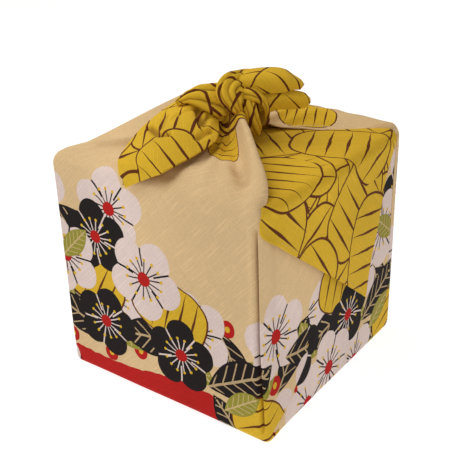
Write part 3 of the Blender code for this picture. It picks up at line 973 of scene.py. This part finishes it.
def cloth_material(name, context):
    """Printed cotton with its slubs and weave, or its paler reverse, both darkened by painted
    shade at the bottom of folds.
    """
    if name in bpy.data.materials:
        return bpy.data.materials[name]
    colours = context.scene.print_colours
    inks = {key: tuple(getattr(colours, key)) + (1.0,) for key in
            ("cotton", "yellow", "line", "red", "olive", "black", "white")}
    paint = Print(name, inks, "cotton")
    width_m = wrap_width_m(context)
    uv = paint.node("ShaderNodeUVMap", uv_map="cloth").outputs[0]
    axes = paint.node("ShaderNodeSeparateXYZ", {0: uv}).outputs
    u = Number(paint, axes[0]) / width_m
    side = paint.math("SIGN", Number(paint, axes[1]))
    d = abs(Number(paint, axes[1]) / width_m)
    warp, weft = (u + d) * math.sqrt(0.5), (u - d) * math.sqrt(0.5)
    ways = ((warp, weft), (weft, warp))
    threads = [paint.noise(paint.vector(a * THREADS[0], b * THREADS[1])) for a, b in ways]
    slubs = [paint.step(paint.noise(paint.vector(a * SLUBS[0], b * SLUBS[1]), 0.0), *SLUB_STEP)
             for a, b in ways]
    weave = threads[0] + threads[1] - 1
    slub = slubs[0] * WARP_SLUBS | slubs[1]
    cloud = paint.noise(paint.vector(u, d), 1.0, CLOUD_SCALE) - 0.5
    if name == "cotton_print":
        paint.cloth(u, d, side)
    # painted shade: the bottoms of folds and pleats darken towards the line ink
    folded = paint.node("ShaderNodeAttribute", attribute_name="crease").outputs["Fac"]
    paint.over(Number(paint, folded) * PAINTED_CREASE_SHADE, "line")
    tone = TONE + weave * WEAVE_TONE + cloud * CLOUD_TONE + slub * SLUB_TONE
    shade = paint.node("ShaderNodeVectorMath", {0: paint.colour, "Scale": tone},
                       operation="SCALE")
    bump = paint.node("ShaderNodeBump", {"Height": weave + slub * SLUB_RELIEF,
                                        "Strength": RELIEF_STRENGTH, "Distance": RELIEF_M})
    return paint.surface({
        "Base Color": shade.outputs[0], "Roughness": ROUGHNESS + weave * WEAVE_ROUGHNESS,
        "Normal": bump.outputs[0], "Sheen Weight": SHEEN, "Specular IOR Level": SPECULAR})


def thread_material(context):
    light = tuple(context.scene.print_colours.thread)
    dark = tuple(PLY_SHADE * part for part in light)
    paint = Paint("hem_thread", {"light": light + (1.0,), "dark": dark + (1.0,)}, "dark")
    paint.over(paint.object_noise(PLY_SCALE), "light")
    return paint.surface({"Base Color": paint.colour, "Roughness": THREAD_ROUGHNESS})


# ---- stitches
STITCH_SHARE = 0.34
BALL_SEGMENTS = 6
BALL_RINGS = 4
# the seam: its distance from the hem and above the cloth, and the least width for both
SEAM_INSET = 0.028
SEAM_LIFT = 0.0006
SEAM_ROOM = 3 * SEAM_INSET


def stitch_tree(material):
    """A Geometry Nodes tree that sews a row of stitches along curves."""
    tree = bpy.data.node_groups.new("hem_stitches", "GeometryNodeTree")
    new_socket = tree.interface.new_socket
    for way in ("OUTPUT", "INPUT"):
        new_socket("Geometry", in_out=way, socket_type="NodeSocketGeometry")
    for name in ("Pitch", "Stitch Length", "Thread Radius"):
        new_socket(name, in_out="INPUT", socket_type="NodeSocketFloat").subtype = "DISTANCE"
    nodes = Nodes(tree)
    given = nodes.node("NodeGroupInput").outputs
    spread = nodes.node("GeometryNodeResampleCurve",
                        {"Curve": given["Geometry"], "Length": given["Pitch"]}, mode="LENGTH")
    tangent = nodes.node("GeometryNodeInputTangent").outputs[0]
    turn = nodes.node("FunctionNodeAlignRotationToVector", {"Vector": tangent}, axis="Z")
    ball = nodes.node("GeometryNodeMeshUVSphere",
                      {"Segments": BALL_SEGMENTS, "Rings": BALL_RINGS,
                       "Radius": given["Thread Radius"]})
    ratio = nodes.math("DIVIDE", given["Stitch Length"], given["Thread Radius"])
    place = nodes.node("GeometryNodeInstanceOnPoints",
                       {"Points": spread.outputs[0], "Instance": ball.outputs["Mesh"],
                        "Rotation": turn.outputs[0], "Scale": nodes.vector(1.0, 1.0, ratio)})
    real = nodes.node("GeometryNodeRealizeInstances", {0: place.outputs[0]})
    finish = nodes.node("GeometryNodeSetMaterial",
                        {"Geometry": real.outputs[0], "Material": material})
    nodes.node("NodeGroupOutput", {0: finish.outputs[0]})
    return tree


def sew(name, line, context):
    """A row of stitches along a line of points, as one plain mesh."""
    sizes = context.scene.wrap_sizes
    curve = bpy.data.curves.new(name + "_line", "CURVE")
    curve.dimensions = "3D"
    spline = curve.splines.new("POLY")
    spline.points.add(len(line) - 1)
    for point, place in zip(spline.points, line * wrap_width_m(context)):
        point.co = (*place, 1.0)
    guide = add_object(name + "_line", curve, context)
    tree = stitch_tree(thread_material(context))
    sewing = guide.modifiers.new("sewing", "NODES")
    sewing.node_group = tree
    values = {"Pitch": sizes.stitch_pitch, "Stitch Length": STITCH_SHARE * sizes.stitch_pitch,
              "Thread Radius": sizes.thread_radius}
    for socket in tree.interface.items_tree:
        if socket.name in values:
            sewing[socket.identifier] = values[socket.name]
    mesh = bpy.data.meshes.new_from_object(guide.evaluated_get(context.evaluated_depsgraph_get()))
    bpy.data.objects.remove(guide)
    mesh.name = name
    mesh.shade_smooth()
    put_on_frame(add_object(name, mesh, context))


# ---- the stage
LIGHTS = {
    "name": ("key_light", "fill_light"),
    "power": ("key_power", "fill_power"),
    "size_m": (0.65, 0.50),
    "place": ((-1.9, -1.3, 4.8), (5.0, -0.6, 3.0)),
}
LIGHT_AIM = (0.0, 0.0, 0.5)
ROOM_COLOUR = (1.0, 0.88, 0.74, 1.0)
FLOOR_HALF = 14.0
FLOOR_INKS = {"dark": (0.30, 0.30, 0.30, 1.0), "light": (0.32, 0.32, 0.32, 1.0)}
FLOOR_GLOW = 0.90
FLOOR_GRAIN = 60.0
FLOOR_ROUGHNESS = 0.9

# the camera, as fitted to the picture: angles in degrees, lengths in widths of the wrap
CAMERA_AZIMUTH = 36.337
CAMERA_ELEVATION = 25.367
CAMERA_ROLL = -1.728
CAMERA_DISTANCE = 3.604
CAMERA_AIM = (-0.1444, 0.1597, 0.4716)
CAMERA_FOCAL_PIXELS = 802.5
CAMERA_NEAR_M = 0.01
SENSOR_MM = 36.0


def make_floor(context):
    bm = bmesh.new()
    bmesh.ops.create_circle(bm, cap_ends=True, segments=64,
                            radius=FLOOR_HALF * wrap_width_m(context))
    mesh = bpy.data.meshes.new("floor")
    bm.to_mesh(mesh)
    bm.free()
    paint = Paint("pale_floor", FLOOR_INKS, "dark")
    paint.over(paint.object_noise(FLOOR_GRAIN), "light")
    mesh.materials.append(paint.surface({
        "Base Color": paint.colour, "Roughness": FLOOR_ROUGHNESS,
        "Emission Color": (1.0, 1.0, 1.0, 1.0), "Emission Strength": FLOOR_GLOW}))
    add_object("floor", mesh, context)


def make_lights(context):
    settings = context.scene.stage_settings
    width_m = wrap_width_m(context)
    for row in table_rows(LIGHTS):
        light = bpy.data.lights.new(row["name"], "AREA")
        light.energy = getattr(settings, row["power"])
        light.shape = "DISK"
        light.size = row["size_m"]
        lamp = add_object(row["name"], light, context)
        lamp.location = Vector(row["place"]) * width_m
        aim = Vector(LIGHT_AIM) * width_m - lamp.location
        lamp.rotation_euler = aim.to_track_quat("-Z", "Y").to_euler()
    world = bpy.data.worlds.new("studio")
    context.scene.world = world
    world.use_nodes = True
    background = world.node_tree.nodes["Background"]
    background.inputs["Color"].default_value = ROOM_COLOUR
    background.inputs["Strength"].default_value = settings.world_strength


def make_camera(context):
    azimuth, elevation, roll = (math.radians(value) for value in
                                (CAMERA_AZIMUTH, CAMERA_ELEVATION, CAMERA_ROLL))
    back = Vector((math.sin(azimuth) * math.cos(elevation),
                   -math.cos(azimuth) * math.cos(elevation), math.sin(elevation)))
    data = bpy.data.cameras.new("camera")
    data.sensor_width = SENSOR_MM
    data.lens = SENSOR_MM * CAMERA_FOCAL_PIXELS / context.scene.stage_settings.image_size
    data.clip_start = CAMERA_NEAR_M
    camera = add_object("camera", data, context)
    turn = back.to_track_quat("Z", "Y").to_matrix().to_4x4()
    place = (Vector(CAMERA_AIM) + back * CAMERA_DISTANCE) * wrap_width_m(context)
    camera.matrix_world = Matrix.Translation(place) @ turn @ Matrix.Rotation(roll, 4, "Z")
    context.scene.camera = camera


# ---- properties
class WrapSizes(PropertyGroup):
    cloth_side: FloatProperty(
        name="Cloth side", description="Side of the square cloth before it was folded",
        default=CLOTH_SIDE_M, min=0.2, unit="LENGTH")
    sheet_thickness: FloatProperty(
        name="Sheet thickness", description="Thickness of one layer of the cotton",
        default=SHEET_M, min=0.0001, unit="LENGTH")
    unevenness: FloatProperty(
        name="Unevenness", description="Height of the cloth's soft waves, in widths of the wrap",
        default=0.004, min=0.0, subtype="FACTOR")
    stitch_pitch: FloatProperty(
        name="Stitch pitch", description="Distance from one stitch of a hem to the next",
        default=0.0030, min=0.001, unit="LENGTH")
    thread_radius: FloatProperty(
        name="Thread radius", description="Half the thickness of the sewing thread",
        default=0.00012, min=0.00005, unit="LENGTH")


def ink(name, description, colour):
    return FloatVectorProperty(name=name, description=description, default=colour, size=3,
                               min=0.0, max=1.0, subtype="COLOR")


class PrintColours(PropertyGroup):
    cotton: ink("Cotton", "Unprinted cotton", (0.76, 0.55, 0.30))
    yellow: ink("Yellow", "Ovals and their heap", (0.74, 0.47, 0.030))
    # the line ink is also the colour of the painted shade at the bottom of folds
    line: ink("Line", "Brush lines on the yellow", (0.13, 0.035, 0.010))
    red: ink("Red", "Ground of the base, hearts and buds", (0.50, 0.012, 0.010))
    olive: ink("Olive", "Leaves", (0.33, 0.30, 0.045))
    black: ink("Black", "Dark blossoms, leaves and lines", (0.014, 0.010, 0.010))
    white: ink("White", "Pale blossoms", (0.80, 0.66, 0.62))
    thread: ink("Thread", "Sewing thread of the hems", (0.70, 0.52, 0.22))


class StageSettings(PropertyGroup):
    key_power: FloatProperty(
        name="Key light", description="Power of the soft light from the upper left",
        default=2.1, min=0.0, unit="POWER")
    fill_power: FloatProperty(
        name="Fill light", description="Power of the soft light from the right",
        default=0.25, min=0.0, unit="POWER")
    world_strength: FloatProperty(
        name="Room light", description="Strength of the even light all round",
        default=0.34, min=0.0)
    image_size: IntProperty(
        name="Image size", description="Width and height of the picture, in pixels",
        default=456, min=16, subtype="PIXEL")


# ---- operators
class FUROSHIKI_OT_spiral_strip(Operator):
    """Lay the strip that winds round the cube and ends in the pointed flap"""
    bl_idname = "furoshiki.spiral_strip"
    bl_label = "Spiral Strip"

    def execute(self, context):
        rows, flat = strip_grid()
        sheet_piece("spiral_strip", rows, flat, context, flip=True)
        return {"FINISHED"}


class FUROSHIKI_OT_ties(Operator):
    """Fold the front and back corners up their walls and over the top"""
    bl_idname = "furoshiki.ties"
    bl_label = "Front and Back Ties"

    def execute(self, context):
        for name, laps, top, back in (("front_tie", FRONT_LAPS, FRONT_TOP, False),
                                      ("back_tie", BACK_LAPS, BACK_TOP, True)):
            rows, flat = tie_grid(laps, top, back)
            sheet_piece(name, rows, flat, context)
        return {"FINISHED"}


class FUROSHIKI_OT_knot(Operator):
    """Tie the gathered strands of the knot"""
    bl_idname = "furoshiki.knot"
    bl_label = "Knot"

    def execute(self, context):
        for strand in table_rows(STRANDS):
            rows, flat, pleats = strand_grid(strand)
            sheet_piece(strand["name"], rows, flat, context, pleats=pleats)
        return {"FINISHED"}


class FUROSHIKI_OT_tails(Operator):
    """Spread the folded leaves of the two tails"""
    bl_idname = "furoshiki.tails"
    bl_label = "Tails"

    def execute(self, context):
        for name, table, facing, flip in (("front_tail", FRONT_TAIL, FRONT_TAIL_FACE, True),
                                          ("back_tail", BACK_TAIL, KNOT_FACE, False),
                                          ("back_tail_under", BACK_TAIL_UNDER, KNOT_FACE, False)):
            rows, flat = tail_grid(table, facing)
            sheet_piece(name, rows, flat, context, flip)
        return {"FINISHED"}


class FUROSHIKI_OT_hem_stitches(Operator):
    """Sew the left hem of the flap"""
    bl_idname = "furoshiki.hem_stitches"
    bl_label = "Hem Stitches"

    def execute(self, context):
        rows, _ = strip_grid()
        shaped, _ = relieve(rows, "spiral_strip", context, flip=True)
        is_flap = (rows[:, 0, 0] > FLAP_START_X) & (np.arange(len(rows)) > len(rows) // 2)
        is_flap &= rows[:, 0, 2] < FLAP_HEM_Z + LAYER
        seam = shaped + grid_normals(shaped, flip=True) * SEAM_LIFT
        width = seam[:, -1] - seam[:, 0]
        span = np.linalg.norm(width, axis=-1, keepdims=True)
        line = seam[:, 0] + width * SEAM_INSET / np.maximum(span, SEAM_INSET)
        sew("hem_stitches", line[is_flap & (span[:, 0] > SEAM_ROOM)], context)
        return {"FINISHED"}


class FUROSHIKI_OT_stage(Operator):
    """Set up the pale floor, the soft studio light and the camera"""
    bl_idname = "furoshiki.stage"
    bl_label = "Stage"

    def execute(self, context):
        make_floor(context)
        make_lights(context)
        make_camera(context)
        context.scene.view_settings.view_transform = "Standard"
        return {"FINISHED"}


# ---- panel and registration
STEPS = ("spiral_strip", "ties", "knot", "tails", "hem_stitches", "stage")


class FUROSHIKI_PT_panel(Panel):
    """Sizes, colours and steps of the wrap"""
    bl_idname = "FUROSHIKI_PT_panel"
    bl_label = "Furoshiki Wrap"
    bl_space_type = "VIEW_3D"
    bl_region_type = "UI"
    bl_category = "Furoshiki"

    def draw(self, context):
        for group, kind in GROUPS.items():
            column = self.layout.column()
            for name in kind.__annotations__:
                column.prop(getattr(context.scene, group), name)
        for step in STEPS:
            self.layout.operator("furoshiki." + step)


GROUPS = {"wrap_sizes": WrapSizes, "print_colours": PrintColours,
          "stage_settings": StageSettings}
CLASSES = (*GROUPS.values(), FUROSHIKI_OT_spiral_strip, FUROSHIKI_OT_ties,
           FUROSHIKI_OT_knot, FUROSHIKI_OT_tails, FUROSHIKI_OT_hem_stitches,
           FUROSHIKI_OT_stage, FUROSHIKI_PT_panel)


def register():
    for cls in CLASSES:
        bpy.utils.register_class(cls)
    for name, kind in GROUPS.items():
        setattr(bpy.types.Scene, name, PointerProperty(type=kind))


def unregister():
    for name in GROUPS:
        delattr(bpy.types.Scene, name)
    for cls in reversed(CLASSES):
        bpy.utils.unregister_class(cls)


def main():
    register()
    for step in STEPS:
        getattr(bpy.ops.furoshiki, step)()


if __name__ == "__main__":
    main()
